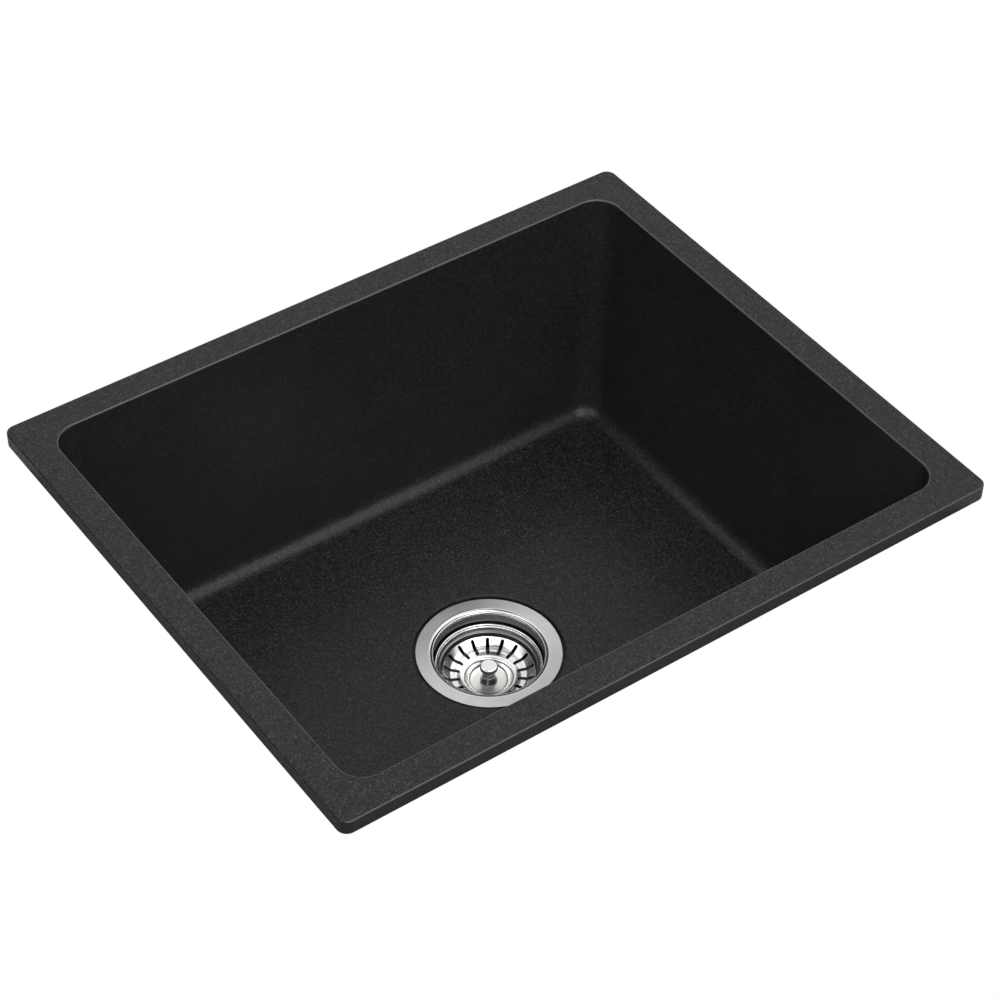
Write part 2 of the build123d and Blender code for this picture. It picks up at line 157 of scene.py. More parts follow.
def set_ramp(ramp: bpy.types.ColorRamp, stops: list[tuple[float, Colour]]) -> None:
    """Give a colour ramp its stops.

    Args:
        ramp: The ramp of a Color Ramp node.
        stops: Position and linear colour of each stop, in rising order.
    """
    while len(ramp.elements) < len(stops):
        ramp.elements.new(1.0)
    for element, (position, colour) in zip(ramp.elements, stops):
        element.position = position
        element.color = colour


@dataclass(frozen=True)
class Finish(ABC):
    """A surface finish that makes its own material."""

    name: str

    def material(self) -> bpy.types.Material:
        """Make the finish's material, with its shader and output in place.

        Returns:
            The new material.
        """
        material = bpy.data.materials.new(self.name)
        material.use_nodes = True
        tree = material.node_tree
        tree.nodes.clear()
        shader = self.shade(tree)
        add_node(tree, "OutputMaterial", {"Surface": shader.outputs["BSDF"]})
        return material

    @abstractmethod
    def shade(self, tree: Tree) -> Node:
        """Add the finish's nodes and return its Principled shader."""


@dataclass(frozen=True)
class GraniteComposite(Finish):
    """Quartz grit in black acrylic resin, cast in a mould.

    The used side comes off a fine matte mould face: near black, with a wide soft sheen in which single grains glint.
    The grains' speckle is painted full on faces that point up and mostly blended into one flat tone on the walls,
    a painted sheen. The rim's rounded upper edges, but for the outer edges of the sides and the back, are painted
    paler, a painted highlight. The back is the open side of the casting, duller, greyer and coarser. Grit and mould
    skin are drawn coarser than they are, so that they show.
    """

    name: str = "cast_granite_composite"
    dark_grain: str = "#030303"
    resin: str = "#19191A"
    grey_grain: str = "#2B2B2C"
    pale_grain: str = "#3A3A3A"
    # Painted sheen: the flat tone that upright and downward faces take in place of most of the speckle
    painted_sheenless_wall_tone: str = "#202021"
    # Painted highlight on the rim's rounded upper edges
    painted_edge_highlight: str = "#4C4C4C"
    raw_back: str = "#434345"
    raw_dark: str = "#2E2E30"
    # Of all grains, where the share of each tone starts, from dark to pale
    tone_starts: tuple[float, float, float, float] = (0.0, 0.4, 0.74, 0.96)
    grain_size: float = 0.9
    grain_gloss: float = 0.12
    # Share of the speckle that the painted sheen leaves on upright and downward faces
    wall_sheen_speckle_share: float = 0.38
    skin_size: float = 0.9
    skin_depth: float = 0.03
    skin_strength: float = 0.5
    cloud_size: float = 40.0
    cloud_change: float = 0.08
    roughness: float = 0.44
    specular_level: float = 0.4
    blotch_size: float = 3.5
    blotch_range: tuple[float, float] = (0.38, 0.64)
    back_roughness: float = 0.75
    back_top: float = -2.0
    back_reach: float = 12.0
    back_height_share: float = 0.2
    edge_bottom: float = 9.0
    edge_reach: float = 272.0
    edge_back: float = 222.0
    edge_rise: float = 0.64
    edge_rise_spread: float = 0.3

    def shade(self, tree: Tree) -> Node:
        """Add the grains with their painted sheen, the mould skin, the painted edge highlights and the raw back.

        Args:
            tree: The material's tree.

        Returns:
            The Principled shader.
        """
        place = add_node(tree, "TexCoord").outputs["Object"]
        normal = add_node(tree, "NewGeometry").outputs["Normal"]
        rise = add_node(tree, "SeparateXYZ", {"Vector": normal}).outputs["Z"]
        # Each grit grain takes one tone and one gloss at random
        grains = add_node(tree, "TexVoronoi", {"Vector": place, "Scale": per_mm(self.grain_size)})
        pick = add_node(tree, "SeparateColor", {"Color": grains.outputs["Color"]})
        tone = add_node(tree, "ValToRGB", {"Fac": pick.outputs["Red"]})
        tone.color_ramp.interpolation = "CONSTANT"
        tones = (self.dark_grain, self.resin, self.grey_grain, self.pale_grain)
        set_ramp(tone.color_ramp, [(start, linear(shade)) for start, shade in zip(self.tone_starts, tones)])
        # Painted sheen: the speckle is painted in full on faces that point up and mostly blended into one flat wall
        # tone
        sheen_share = add_node(tree, "MapRange", {"Value": rise, "To Min": self.wall_sheen_speckle_share})
        sheen_speckled = add_node(
            tree,
            "Mix",
            {
                "Factor": sheen_share.outputs["Result"],
                MIX_A: linear(self.painted_sheenless_wall_tone),
                MIX_B: tone.outputs["Color"],
            },
            data_type="RGBA",
        )
        clouds = add_node(tree, "TexNoise", {"Vector": place, "Scale": per_mm(self.cloud_size), "Detail": 3.0})
        depth = add_node(
            tree,
            "MapRange",
            {
                "Value": clouds.outputs["Fac"],
                "From Min": NOISE_LOW,
                "From Max": NOISE_HIGH,
                "To Min": 1.0 - self.cloud_change,
                "To Max": 1.0 + self.cloud_change,
            },
        )
        used = add_node(
            tree,
            "VectorMath",
            {0: sheen_speckled.outputs[MIX_RESULT], "Scale": depth.outputs["Result"]},
            operation="SCALE",
        )
        # Painted highlight: the rim's rounded upper edges are painted a paler grey
        edged = add_node(
            tree,
            "Mix",
            {
                "Factor": self.highlight_edge_mask(tree, place, rise),
                MIX_A: used.outputs["Vector"],
                MIX_B: linear(self.painted_edge_highlight),
            },
            data_type="RGBA",
        )
        blotches = add_node(
            tree, "TexNoise", {"Vector": place, "Scale": per_mm(self.blotch_size), "Detail": 4.0}
        )
        raw = add_node(tree, "ValToRGB", {"Fac": blotches.outputs["Fac"]})
        raw_tones = (self.raw_dark, self.raw_back)
        set_ramp(raw.color_ramp, [(end, linear(shade)) for end, shade in zip(self.blotch_range, raw_tones)])
        back = self.back_mask(tree, place, normal)
        colour = add_node(
            tree,
            "Mix",
            {"Factor": back, MIX_A: edged.outputs[MIX_RESULT], MIX_B: raw.outputs["Color"]},
            data_type="RGBA",
        )
        glint = add_node(
            tree,
            "MapRange",
            {
                "Value": pick.outputs["Green"],
                "To Min": self.roughness - self.grain_gloss,
                "To Max": self.roughness + self.grain_gloss,
            },
        )
        gloss = add_node(
            tree,
            "MapRange",
            {"Value": back, "To Min": glint.outputs["Result"], "To Max": self.back_roughness},
        )
        skin = add_node(tree, "TexNoise", {"Vector": place, "Scale": per_mm(self.skin_size), "Detail": 1.0})
        bump = add_node(
            tree,
            "Bump",
            {
                "Height": skin.outputs["Fac"],
                "Strength": self.skin_strength,
                "Distance": self.skin_depth * MM,
            },
        )
        return add_node(
            tree,
            "BsdfPrincipled",
            {
                "Base Color": colour.outputs[MIX_RESULT],
                "Roughness": gloss.outputs["Result"],
                "Specular IOR Level": self.specular_level,
                "Normal": bump.outputs["Normal"],
            },
        )

    def highlight_edge_mask(self, tree: Tree, place: Socket, rise: Socket) -> Socket:
        """Tell the rim's rounded upper edges, which get a painted highlight, from its flats.

        Args:
            tree: The material's tree.
            place: Object coordinates.
            rise: Upward part of the surface's normal.

        Returns:
            A socket that is 1 near the top of the rim where the surface is neither level nor upright, except on the
            outer edges of the sides and the back.
        """
        x, y, z = add_node(tree, "SeparateXYZ", {"Vector": place}).outputs
        tilted = add_node(
            tree, "Math", {0: rise, 1: self.edge_rise, 2: self.edge_rise_spread}, operation="COMPARE"
        )
        upper = add_node(tree, "Math", {0: z, 1: self.edge_bottom * MM}, operation="GREATER_THAN")
        between = add_node(tree, "Math", {0: x, 1: 0.0, 2: self.edge_reach * MM}, operation="COMPARE")
        before = add_node(tree, "Math", {0: y, 1: self.edge_back * MM}, operation="LESS_THAN")
        return all_of(tree, tilted, upper, between, before)

    def back_mask(self, tree: Tree, place: Socket, normal: Socket) -> Socket:
        """Tell the raw back from the used side.

        Args:
            tree: The material's tree.
            place: Object coordinates.
            normal: The surface's normal.

        Returns:
            A socket that is 1 below the rim where the surface faces away from the drain's axis or down.
        """
        shares = (1.0, 1.0, self.back_height_share)
        flat = add_node(tree, "VectorMath", {0: place, 1: shares}, operation="MULTIPLY")
        away = add_node(tree, "VectorMath", {0: flat.outputs["Vector"], 1: normal}, operation="DOT_PRODUCT")
        faces = add_node(
            tree, "Math", {0: away.outputs["Value"], 1: self.back_reach * MM}, operation="GREATER_THAN"
        )
        height = add_node(tree, "SeparateXYZ", {"Vector": place}).outputs["Z"]
        under = add_node(tree, "Math", {0: height, 1: self.back_top * MM}, operation="LESS_THAN")
        return all_of(tree, faces, under)


@dataclass(frozen=True)
class DullShadeZone:
    """A ring round the drain's axis where the metal is rougher and its colour is painted darker, as painted shade.
    """

    inner: float
    outer: float
    bottom: float
    top: float
    colour: str
    roughness: float
    facing_in: bool = False

    def mask(self, tree: Tree, flat: Socket, radius: Socket, height: Socket) -> Socket:
        """Tell the inside of the ring from the rest.

        Args:
            tree: The material's tree.
            flat: Place in plan, from the axis.
            radius: Distance from the axis.
            height: Height in the part's frame.

        Returns:
            A socket that is 1 inside the ring, on surfaces that face in or up if only those are meant.
        """
        tests = []
        for length, lower, upper in ((radius, self.inner, self.outer), (height, self.bottom, self.top)):
            middle, half = (lower + upper) / 2 * MM, (upper - lower) / 2 * MM
            tests.append(add_node(tree, "Math", {0: length, 1: middle, 2: half}, operation="COMPARE"))
        if self.facing_in:
            normal = add_node(tree, "NewGeometry").outputs["Normal"]
            out = add_node(tree, "VectorMath", {0: flat}, operation="NORMALIZE")
            out_and_down = add_node(tree, "VectorMath", {0: out.outputs["Vector"], 1: DOWN}, operation="ADD")
            away = add_node(
                tree, "VectorMath", {0: out_and_down.outputs["Vector"], 1: normal}, operation="DOT_PRODUCT"
            )
            tests.append(add_node(tree, "Math", {0: away.outputs["Value"], 1: 0.0}, operation="LESS_THAN"))
        return all_of(tree, *tests)


@dataclass(frozen=True)
class TurnedMetal(Finish):
    """Sheet or bar metal with marks that run round the drain's axis.

    Fine rings of polishing marks stretch each highlight across them, so that a ring of metal shows light and dark
    sectors. The marks are drawn coarser than they are, so that they show. Inside the inner radius the metal has
    another gloss, and in the dull zones the metal is rougher and its colour is painted darker, as painted shade.
    """

    colour: str
    roughness: float
    roughness_spread: float
    anisotropy: float
    mark_spacing: float
    mark_depth: float
    inner_radius: float
    inner_roughness: float
    # Rings where the metal is rougher and its colour is painted darker, as painted shade
    dull: tuple[DullShadeZone, ...]
    mark_strength: float = 0.5
    smudge_size: float = 9.0
    inner_blend: float = 0.3

    def shade(self, tree: Tree) -> Node:
        """Add the rings of marks, the uneven gloss, the dull zones with their painted shade, and the metal.

        Args:
            tree: The material's tree.

        Returns:
            The Principled shader.
        """
        place = add_node(tree, "TexCoord").outputs["Object"]
        x, y, height = add_node(tree, "SeparateXYZ", {"Vector": place}).outputs
        flat = add_node(tree, "CombineXYZ", {"X": x, "Y": y}).outputs["Vector"]
        radius = add_node(tree, "VectorMath", {0: flat}, operation="LENGTH").outputs["Value"]
        # Radius plus height changes along every section, flat or upright, and is constant round each ring
        along = add_node(tree, "Math", {0: radius, 1: height}, operation="ADD")
        marks = add_node(
            tree,
            "TexNoise",
            {"W": along.outputs["Value"], "Scale": per_mm(self.mark_spacing), "Detail": 2.0},
            noise_dimensions="1D",
        )
        smudges = add_node(
            tree, "TexNoise", {"Vector": place, "Scale": per_mm(self.smudge_size), "Detail": 3.0}
        )
        spread = add_node(
            tree,
            "MapRange",
            {
                "Value": smudges.outputs["Fac"],
                "From Min": NOISE_LOW,
                "From Max": NOISE_HIGH,
                "To Min": self.roughness - self.roughness_spread,
                "To Max": self.roughness + self.roughness_spread,
            },
        )
        outer = add_node(
            tree,
            "MapRange",
            {
                "Value": radius,
                "From Min": (self.inner_radius - self.inner_blend) * MM,
                "From Max": (self.inner_radius + self.inner_blend) * MM,
            },
        )
        gloss = add_node(
            tree,
            "MapRange",
            {
                "Value": outer.outputs["Result"],
                "To Min": self.inner_roughness,
                "To Max": spread.outputs["Result"],
            },
        ).outputs["Result"]
        colour = linear(self.colour)
        for zone in self.dull:
            # Painted shade: inside each zone the colour is painted darker and the metal is made rougher
            dark = zone.mask(tree, flat, radius, height)
            gloss = add_node(
                tree, "MapRange", {"Value": dark, "To Min": gloss, "To Max": zone.roughness}
            ).outputs["Result"]
            colour = add_node(
                tree, "Mix", {"Factor": dark, MIX_A: colour, MIX_B: linear(zone.colour)}, data_type="RGBA"
            ).outputs[MIX_RESULT]
        bump = add_node(
            tree,
            "Bump",
            {
                "Height": marks.outputs["Fac"],
                "Strength": self.mark_strength,
                "Distance": self.mark_depth * MM,
            },
        )
        tangent = add_node(tree, "Tangent", direction_type="RADIAL", axis="Z")
        return add_node(
            tree,
            "BsdfPrincipled",
            {
                "Base Color": colour,
                "Metallic": 1.0,
                "Roughness": gloss,
                "Anisotropic": self.anisotropy,
                "Tangent": tangent.outputs["Tangent"],
                "Normal": bump.outputs["Normal"],
            },
        )


@dataclass(frozen=True)
class GrainedSolid(Finish):
    """A cast, moulded or pressed material with an even grain and a faint change of tone."""

    colour: str
    second_colour: str
    metallic: float
    roughness: float
    grain_size: float
    grain_depth: float
    patch_size: float
    patch_range: tuple[float, float] = (0.35, 0.65)
    roughness_spread: float = 0.12
    grain_strength: float = 0.6

    def shade(self, tree: Tree) -> Node:
        """Add the patches of tone and the grain.

        Args:
            tree: The material's tree.

        Returns:
            The Principled shader.
        """
        place = add_node(tree, "TexCoord").outputs["Object"]
        patches = add_node(
            tree, "TexNoise", {"Vector": place, "Scale": per_mm(self.patch_size), "Detail": 4.0}
        )
        ramp = add_node(tree, "ValToRGB", {"Fac": patches.outputs["Fac"]})
        tones = (self.colour, self.second_colour)
        set_ramp(ramp.color_ramp, [(end, linear(shade)) for end, shade in zip(self.patch_range, tones)])
        grain = add_node(tree, "TexNoise", {"Vector": place, "Scale": per_mm(self.grain_size), "Detail": 2.0})
        gloss = add_node(
            tree,
            "MapRange",
            {
                "Value": grain.outputs["Fac"],
                "To Min": self.roughness - self.roughness_spread,
                "To Max": self.roughness + self.roughness_spread,
            },
        )
        bump = add_node(
            tree,
            "Bump",
            {
                "Height": grain.outputs["Fac"],
                "Strength": self.grain_strength,
                "Distance": self.grain_depth * MM,
            },
        )
        return add_node(
            tree,
            "BsdfPrincipled",
            {
                "Base Color": ramp.outputs["Color"],
                "Metallic": self.metallic,
                "Roughness": gloss.outputs["Result"],
                "Normal": bump.outputs["Normal"],
            },
        )


# Painted shade: the cup's inside, the basket's collar and the step below it, and the knob's waist under its cap
# are painted darker, and the metal there is rougher
CUP_WALL_SHADE = DullShadeZone(
    inner=0.0, outer=43.9, bottom=-209.0, top=-197.3, colour="#787878", roughness=0.35, facing_in=True
)
CUP_INSIDE_SHADE = DullShadeZone(
    inner=0.0, outer=43.9, bottom=-262.0, top=-209.0, colour="#606060", roughness=0.45, facing_in=True
)
BASKET_COLLAR_SHADE = DullShadeZone(
    inner=36.9, outer=40.3, bottom=-211.4, top=-207.9, colour="#8C8C8C", roughness=0.3
)
BASKET_STEP_SHADE = DullShadeZone(
    inner=36.2, outer=38.2, bottom=-214.5, top=-211.4, colour="#404040", roughness=0.35
)
KNOB_WAIST_SHADE = DullShadeZone(inner=0.0, outer=8.0, bottom=-227.5, top=-209.2, colour="#6A6A6B", roughness=0.2)

FINISHES: dict[Slot, Finish] = {
    Slot.GRANITE: GraniteComposite(),
    # Drawn sheet, satin on the flange and brighter inside it: soft grey sectors, then sharp white lines on the lip
    Slot.SATIN_STEEL: TurnedMetal(
        name="satin_drawn_stainless",
        colour="#D0D0CE",
        roughness=0.32,
        roughness_spread=0.05,
        anisotropy=0.75,
        mark_spacing=0.5,
        mark_depth=0.001,
        inner_radius=47.8,
        inner_roughness=0.14,
        dull=(CUP_WALL_SHADE, CUP_INSIDE_SHADE),
    ),
    # Stamped sheet, buffed bright and softer in the dish: white panels that turn dark towards the shaded side
    Slot.POLISHED_STEEL: TurnedMetal(
        name="buffed_stamped_stainless",
        colour="#FAFAF8",
        roughness=0.18,
        roughness_spread=0.04,
        anisotropy=0.2,
        mark_spacing=0.7,
        mark_depth=0.0006,
        inner_radius=14.6,
        inner_roughness=0.3,
        dull=(BASKET_COLLAR_SHADE, BASKET_STEP_SHADE),
    ),
    # Chrome plate, mirror bright and a little worn on the knob: hard black and white stripes on round pieces
    Slot.CHROME: TurnedMetal(
        name="chrome_plate",
        colour="#FCFCFC",
        roughness=0.06,
        roughness_spread=0.03,
        anisotropy=0.0,
        mark_spacing=0.9,
        mark_depth=0.001,
        inner_radius=9.2,
        inner_roughness=0.12,
        dull=(KNOB_WAIST_SHADE,),
    ),
    # Die-cast alloy left raw: an even dull grey with a fine frosted grain
    Slot.ZINC: GrainedSolid(
        name="die_cast_zinc",
        colour="#A2A4A6",
        second_colour="#8F9193",
        metallic=1.0,
        roughness=0.45,
        grain_size=0.7,
        grain_depth=0.05,
        patch_size=7.0,
    ),
    # Moulded rubber: flat black with hardly any sheen
    Slot.RUBBER: GrainedSolid(
        name="moulded_black_rubber",
        colour="#171717",
        second_colour="#1E1E1E",
        metallic=0.0,
        roughness=0.65,
        grain_size=0.5,
        grain_depth=0.03,
        patch_size=6.0,
    ),
    # Pressed fibre: dry brown card with flecks
    Slot.FIBRE: GrainedSolid(
        name="pressed_fibre",
        colour="#8A6C47",
        second_colour="#6F5536",
        metallic=0.0,
        roughness=0.8,
        grain_size=0.6,
        grain_depth=0.06,
        patch_size=3.0,
    ),
    # Moulded nylon in its natural colour: milky white with a soft waxy sheen
    Slot.NYLON: GrainedSolid(
        name="natural_nylon",
        colour="#DDD9CB",
        second_colour="#CFCABB",
        metallic=0.0,
        roughness=0.42,
        grain_size=1.2,
        grain_depth=0.02,
        patch_size=10.0,
    ),
}


class Palette:
    """Makes each finish's material once and hands it out by slot."""

    def __init__(self) -> None:
        """Make every material."""
        self.materials = {slot: finish.material() for slot, finish in FINISHES.items()}

    def give(self, piece: bpy.types.Object, slot: Slot) -> None:
        """Put one slot's material on a piece.

        Args:
            piece: The mesh object to dress.
            slot: The record's slot for it.
        """
        if piece.material_slots:
            piece.material_slots[0].material = self.materials[slot]
        else:
            piece.data.materials.append(self.materials[slot])


def to_object(mesh: bmesh.types.BMesh, name: str, crease_angle: float) -> bpy.types.Object:
    """Turn a bmesh into a linked object with smooth faces and sharp creases.

    Args:
        mesh: The finished bmesh, which is freed.
        name: The object's name.
        crease_angle: Edges sharper than this, in degrees, stay sharp.

    Returns:
        The object, at the origin.
    """
    for face in mesh.faces:
        face.smooth = True
    for edge in mesh.edges:
        edge.smooth = edge.is_manifold and edge.calc_face_angle(0.0) < math.radians(crease_angle)
    data = bpy.data.meshes.new(name)
    mesh.to_mesh(data)
    mesh.free()
    piece = bpy.data.objects.new(name, data)
    bpy.context.scene.collection.objects.link(piece)
    return piece


def low(node: str) -> float:
    """Lowest height of a CAD node, in millimetres."""
    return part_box(node)[0].z / MM


def high(node: str) -> float:
    """Highest height of a CAD node, in millimetres."""
    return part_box(node)[1].z / MM


@dataclass(frozen=True)
class ThreadForm:
    """Pitch and section of a rolled thread's ridge."""

    pitch: float
    height: float
    root_width: float
    crest_width: float
    sunk: float = 0.03
    steps_per_turn: int = 72
    crease_angle: float = 35.0


@dataclass(frozen=True)
class ThreadRidge:
    """One helical ridge of a rolled thread on a round piece."""

    name: str
    slot: Slot
    form: ThreadForm
    root_radius: float
    top: float
    bottom: float

    def build(self) -> bpy.types.Object:
        """Spin the ridge's section along its helix.

        Returns:
            A closed mesh object at the origin.
        """
        form = self.form
        foot, crest = self.root_radius - form.sunk, self.root_radius + form.height
        outline = [
            (foot, -form.root_width / 2),
            (crest, -form.crest_width / 2),
            (crest, form.crest_width / 2),
            (foot, form.root_width / 2),
        ]
        start = self.bottom + form.root_width / 2
        turns = (self.top - self.bottom - form.root_width) / form.pitch
        mesh = bmesh.new()
        verts = [mesh.verts.new((radius * MM, 0.0, (start + height) * MM)) for radius, height in outline]
        section = mesh.faces.new(verts)
        bmesh.ops.spin(
            mesh,
            geom=[*verts, *section.edges, section],
            cent=ORIGIN,
            axis=UP,
            dvec=(0.0, 0.0, form.pitch / form.steps_per_turn * MM),
            angle=2 * math.pi * turns,
            steps=round(turns * form.steps_per_turn),
            use_merge=False,
        )
        bmesh.ops.holes_fill(mesh, edges=mesh.edges, sides=len(outline))
        bmesh.ops.recalc_face_normals(mesh, faces=mesh.faces)
        return to_object(mesh, self.name, form.crease_angle)


@dataclass(frozen=True)
class RolledBead:
    """A round bead rolled along the edge of a sheet."""

    name: str
    slot: Slot
    ring_radius: float
    height: float
    bead_radius: float
    sides: int = 32
    steps: int = 288
    crease_angle: float = 60.0

    def build(self) -> bpy.types.Object:
        """Spin the bead's round section once about the drain's axis.

        Returns:
            A closed mesh object at the origin.
        """
        mesh = bmesh.new()
        middle = Matrix.Translation((self.ring_radius * MM, 0.0, self.height * MM))
        upright = Matrix.Rotation(math.pi / 2, 4, "X")
        section = bmesh.ops.create_circle(
            mesh, segments=self.sides, radius=self.bead_radius * MM, matrix=middle @ upright
        )
        bmesh.ops.spin(
            mesh,
            geom=[*section["verts"], *mesh.edges],
            cent=ORIGIN,
            axis=UP,
            angle=2 * math.pi,
            steps=self.steps,
            use_merge=True,
        )
        bmesh.ops.remove_doubles(mesh, verts=mesh.verts, dist=MERGE_DISTANCE)
        bmesh.ops.recalc_face_normals(mesh, faces=mesh.faces)
        return to_object(mesh, self.name, self.crease_angle)


@dataclass
class SubAssembly(ABC):
    """CAD nodes of one body that are dressed together, with the ridges that are modelled onto them."""

    title: str
    body: Body

    @abstractmethod
    def dressing(self) -> dict[str, Slot]:
        """Name the CAD nodes and the slot of each."""

    def ridges(self) -> list[ThreadRidge | RolledBead]:
        """List the threads and beads to model, if there are any."""
        return []

    def build(self, palette: Palette) -> None:
        """Dress the nodes, then model and dress the ridges.

        Args:
            palette: Where the materials come from.
        """
        for node, slot in self.dressing().items():
            palette.give(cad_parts[node], slot)
            log.info("%s: dressed %s as %s", self.title, node, slot.value)
        for ridge in self.ridges():
            piece = ridge.build()
            palette.give(piece, ridge.slot)
            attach(piece, self.body.value)
            log.info("%s: modelled %s", self.title, piece.name)


@dataclass
class Bowl(SubAssembly):
    """The cast bowl with its rim."""

    title: str = "bowl"
    body: Body = Body.SINK

    def dressing(self) -> dict[str, Slot]:
        """Name the bowl and its slot."""
        return {"sink_bowl": Slot.GRANITE}


@dataclass
class Strainer(SubAssembly):
    """The drawn cup with its flange, its rolled lip, and the threads rolled into the cup and its neck."""

    title: str = "strainer"
    body: Body = Body.SINK
    cup_radius: float = 44.4
    cup_thread_length: float = 11.2
    cup_thread: ThreadForm = ThreadForm(pitch=2.4, height=0.5, root_width=1.5, crest_width=0.5)
    neck_radius: float = 23.0
    neck_thread_length: float = 8.2
    neck_thread: ThreadForm = ThreadForm(pitch=2.2, height=0.45, root_width=1.4, crest_width=0.45)
    lip_ring: float = 43.95
    lip_drop: float = 2.4
    lip_radius: float = 1.2
    clear: float = 0.2

    def dressing(self) -> dict[str, Slot]:
        """Name the cup and its slot."""
        return {"strainer_body": Slot.SATIN_STEEL}

    def ridges(self) -> list[ThreadRidge | RolledBead]:
        """Roll the lip, and thread the cup below its lock nut and the neck above its coupling nut.

        Returns:
            The lip's bead and both threads.
        """
        steel = Slot.SATIN_STEEL
        lip_height = high("strainer_body") - self.lip_drop
        cup_top = low("lock_nut") - self.clear
        cup_bottom = cup_top - self.cup_thread_length
        neck_bottom = high("coupling_nut") + self.clear
        neck_top = neck_bottom + self.neck_thread_length
        return [
            RolledBead("lip_bead", steel, self.lip_ring, lip_height, self.lip_radius),
            ThreadRidge("cup_thread", steel, self.cup_thread, self.cup_radius, cup_top, cup_bottom),
            ThreadRidge("neck_thread", steel, self.neck_thread, self.neck_radius, neck_top, neck_bottom),
        ]


@dataclass
class ClampRings(SubAssembly):
    """The rings that clamp and seal the strainer in the drain hole."""

    title: str = "clamp rings"
    body: Body = Body.SINK

    def dressing(self) -> dict[str, Slot]:
        """Name the rings and their slots."""
        return {
            "flange_gasket": Slot.RUBBER,
            "under_gasket": Slot.RUBBER,
            "friction_washer": Slot.FIBRE,
            "lock_nut": Slot.ZINC,
        }


@dataclass
class WasteOutlet(SubAssembly):
    """The guide in the outlet and the tube under it."""

    title: str = "waste outlet"
    body: Body = Body.SINK

    def dressing(self) -> dict[str, Slot]:
        """Name the outlet's pieces and their slots."""
        return {
            "outlet_cross": Slot.SATIN_STEEL,
            "stem_bush": Slot.NYLON,
            "tailpiece_washer": Slot.NYLON,
            "tailpiece": Slot.CHROME,
            "coupling_nut": Slot.CHROME,
        }


@dataclass
class Basket(SubAssembly):
    """The stamped basket with its rolled edge, and the knob that lifts it."""

    title: str = "basket"
    body: Body = Body.BASKET
    bead_ring: float = 41.2
    bead_radius: float = 1.05
    bead_sunk: float = 0.1
    fold_height: float = -220.2
    crease_angle: float = 40.0
    # Distance from the drain's axis, and how far the pressing raises the sheet there
    floor_lift: tuple[tuple[float, float], ...] = (
        (0.0, 0.0),
        (15.2, 0.0),
        (18.6, 0.9),
        (22.0, 0.9),
        (25.0, 1.05),
        (29.9, -0.2),
        (36.6, 0.0),
        (60.0, 0.0),
    )

    def dressing(self) -> dict[str, Slot]:
        """Name the basket's pieces and their slots."""
        return {"basket_shell": Slot.POLISHED_STEEL, "knob": Slot.CHROME}

    def ridges(self) -> list[ThreadRidge | RolledBead]:
        """Roll the basket's upper edge."""
        height = high("basket_shell") + self.bead_radius - self.bead_sunk
        return [RolledBead("rim_bead", Slot.POLISHED_STEEL, self.bead_ring, height, self.bead_radius)]

    def build(self, palette: Palette) -> None:
        """Dress the basket, then press the floor of its slotted bowl flat.

        Args:
            palette: Where the materials come from.
        """
        super().build(palette)
        mesh = bmesh.new()
        mesh.from_mesh(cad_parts["basket_shell"].data)
        bmesh.ops.remove_doubles(mesh, verts=mesh.verts, dist=MERGE_DISTANCE)
        bmesh.ops.bisect_plane(
            mesh,
            geom=[*mesh.verts, *mesh.edges, *mesh.faces],
            plane_co=(0.0, 0.0, self.fold_height * MM),
            plane_no=UP,
        )
        for vert in mesh.verts:
            vert.co.z += self.lift(math.hypot(vert.co.x, vert.co.y) / MM) * MM
        shell = to_object(mesh, "pressed_basket", self.crease_angle)
        palette.give(shell, Slot.POLISHED_STEEL)
        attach(shell, self.body.value)
        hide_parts("basket_shell")
        log.info("%s: pressed %s", self.title, shell.name)

    def lift(self, radius: float) -> float:
        """How far the pressing raises the sheet at one radius.

        Args:
            radius: Distance from the drain's axis.

        Returns:
            The rise in millimetres.
        """
        for (start, low_rise), (end, high_rise) in zip(self.floor_lift, self.floor_lift[1:]):
            if radius <= end:
                return low_rise + (high_rise - low_rise) * (radius - start) / (end - start)
        return 0.0


@dataclass
class Stopper(SubAssembly):
    """The stem under the basket with the rubber that closes the outlet."""

    title: str = "stopper"
    body: Body = Body.BASKET
    stem_radius: float = 3.0
    stem_thread: ThreadForm = ThreadForm(
        pitch=1.0, height=0.2, root_width=0.7, crest_width=0.2, sunk=0.02, steps_per_turn=36
    )
    plain_end: float = 1.2
    clear: float = 0.1

    def dressing(self) -> dict[str, Slot]:
        """Name the stopper's pieces and their slots."""
        return {
            "stem": Slot.SATIN_STEEL,
            "spacer_sleeve": Slot.NYLON,
            "seal_plate": Slot.SATIN_STEEL,
            "stopper_seal": Slot.RUBBER,
            "clamp_washer": Slot.SATIN_STEEL,
            "stem_nut": Slot.SATIN_STEEL,
        }

    def ridges(self) -> list[ThreadRidge | RolledBead]:
        """Thread the end of the stem below its nut.

        Returns:
            The stem's thread.
        """
        top = low("stem_nut") - self.clear
        bottom = low("stem") + self.plain_end
        steel = Slot.SATIN_STEEL
        return [ThreadRidge("stem_thread", steel, self.stem_thread, self.stem_radius, top, bottom)]


